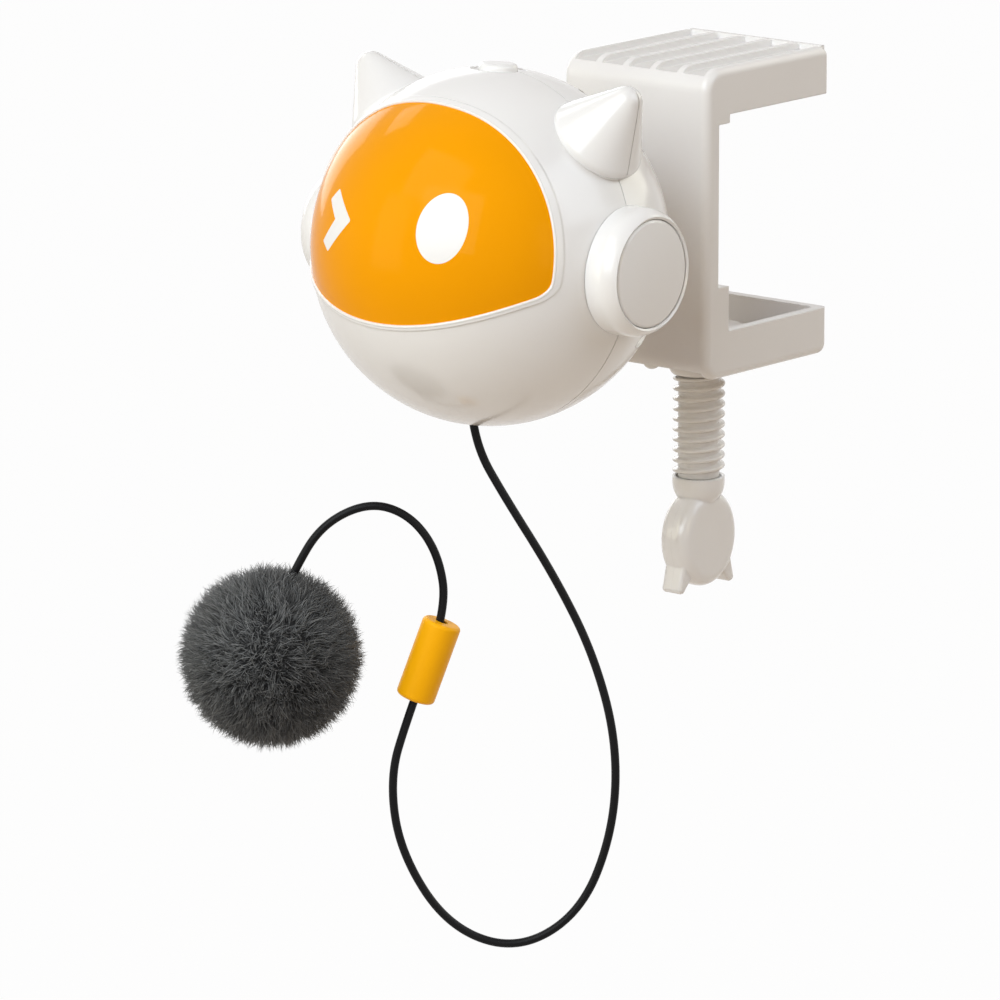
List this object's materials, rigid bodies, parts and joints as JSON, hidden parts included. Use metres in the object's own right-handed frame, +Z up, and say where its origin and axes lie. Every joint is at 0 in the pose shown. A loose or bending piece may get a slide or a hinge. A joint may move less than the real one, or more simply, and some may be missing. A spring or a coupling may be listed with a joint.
{
  "type": "hanging ball cat toy",
  "caption": "Table-clamp cat toy: a helmeted ball head with ears holds a motor that winds a cord with a bead and a fur pom-pom up and down.",
  "frame": {"origin": "on the upper jaw's underside, where the axis of the clamp screw meets it", "axes": "+Z up along the clamp screw, -Y the way the face looks, +Y into the jaws' mouth, +X to the left hand of the figure"},
  "size_m": [0.1004, 0.1507, 0.2014],
  "materials": {
    "white_plastic": "satin white moulded plastic",
    "clamp_plastic": "fine satin white moulded plastic",
    "amber_plastic": "gloss amber plastic",
    "eye_white": "gloss white inlay",
    "cord_black": "smooth black sleeve",
    "winding_black": "wound cord",
    "pom_fur": "long soft grey fur",
    "natural_plastic": "natural moulded plastic",
    "dark_plastic": "black moulded plastic",
    "board_green": "green circuit board",
    "motor_metal": "plated motor can",
    "steel": "bright steel",
    "cell_wrap": "printed foil sleeve",
    "contact_metal": "plated contact",
    "gear_plastic": "white gear plastic"
  },
  "bodies": {
    "housing": {"front_shell": "white_plastic", "rear_shell": "white_plastic", "left_eye": "eye_white", "right_eye": "eye_white", "visor": "amber_plastic", "headphone_ring_right": "white_plastic", "headphone_cap_right": "white_plastic", "headphone_ring_left": "white_plastic", "headphone_cap_left": "white_plastic", "circuit_board": "board_green", "power_switch": "dark_plastic", "control_chip": "dark_plastic", "board_screws": "steel", "spool_axle": "steel", "idler_axle": "steel", "motor": "motor_metal", "drive_frame": "natural_plastic", "frame_screws": "steel", "battery_tray": "natural_plastic", "battery_cell_1": "cell_wrap", "battery_cell_2": "cell_wrap", "battery_cell_3": "cell_wrap", "plus_contacts": "contact_metal", "minus_springs": "contact_metal", "shell_screws": "steel", "cord_guide": "dark_plastic", "cord_feed": "cord_black", "clamp_frame": "clamp_plastic", "neck": "clamp_plastic", "clamp_side_screws": "steel", "head_side_screws": "steel", "toy_cord": "cord_black", "pom_pom": "pom_fur"},
    "door": {"battery_door": "white_plastic"},
    "button": {"power_button": "white_plastic"},
    "spool": {"spool": "gear_plastic", "cord_winding": "winding_black"},
    "idler": {"idler_gear": "gear_plastic"},
    "rotor": {"motor_pinion": "contact_metal", "motor_shaft": "steel"},
    "pad": {"pressure_pad": "clamp_plastic"},
    "screw": {"clamp_screw": "clamp_plastic", "screw_knob": "clamp_plastic"},
    "bead": {"cord_bead": "amber_plastic"}
  },
  "joints": [
    {"name": "pad_travel", "type": "slide", "parent": "housing", "child": "pad", "axis": [0, 0, 1], "range_m": [0, 0.0216]},
    {"name": "screw_turn", "type": "hinge", "parent": "pad", "child": "screw", "pos_m": [0, 0, -0.0881], "axis": [0, 0, 1], "range_deg": [0, 3241]},
    {"name": "button_press", "type": "slide", "parent": "housing", "child": "button", "axis": [0, -0.0576, -0.9983], "range_m": [0, 0.0007], "stiffness_N_per_m": 1500},
    {"name": "spool_spin", "type": "hinge", "parent": "housing", "child": "spool", "pos_m": [0, -0.07251, -0.03128], "axis": [1, 0, 0], "continuous": true},
    {"name": "idler_spin", "type": "hinge", "parent": "housing", "child": "idler", "pos_m": [0, -0.06843, -0.01999], "axis": [1, 0, 0], "continuous": true},
    {"name": "motor_spin", "type": "hinge", "parent": "housing", "child": "rotor", "pos_m": [0, -0.07456, -0.00968], "axis": [1, 0, 0], "continuous": true},
    {"name": "battery_door_lift", "type": "slide", "parent": "housing", "child": "door", "axis": [0, 0.4493, -0.8934], "range_m": [0, 0.02]},
    {"name": "bead_spin", "type": "hinge", "parent": "housing", "child": "bead", "pos_m": [-0.00762, -0.08779, -0.11747], "axis": [0.2593, 0.2145, 0.9417], "continuous": true}
  ],
  "couplings": [
    {"joint": "screw_turn", "follows": "pad_travel", "rad_per_m": 2618},
    {"joint": "idler_spin", "follows": "spool_spin", "ratio": -2.75},
    {"joint": "motor_spin", "follows": "spool_spin", "ratio": 13.75}
  ]
}
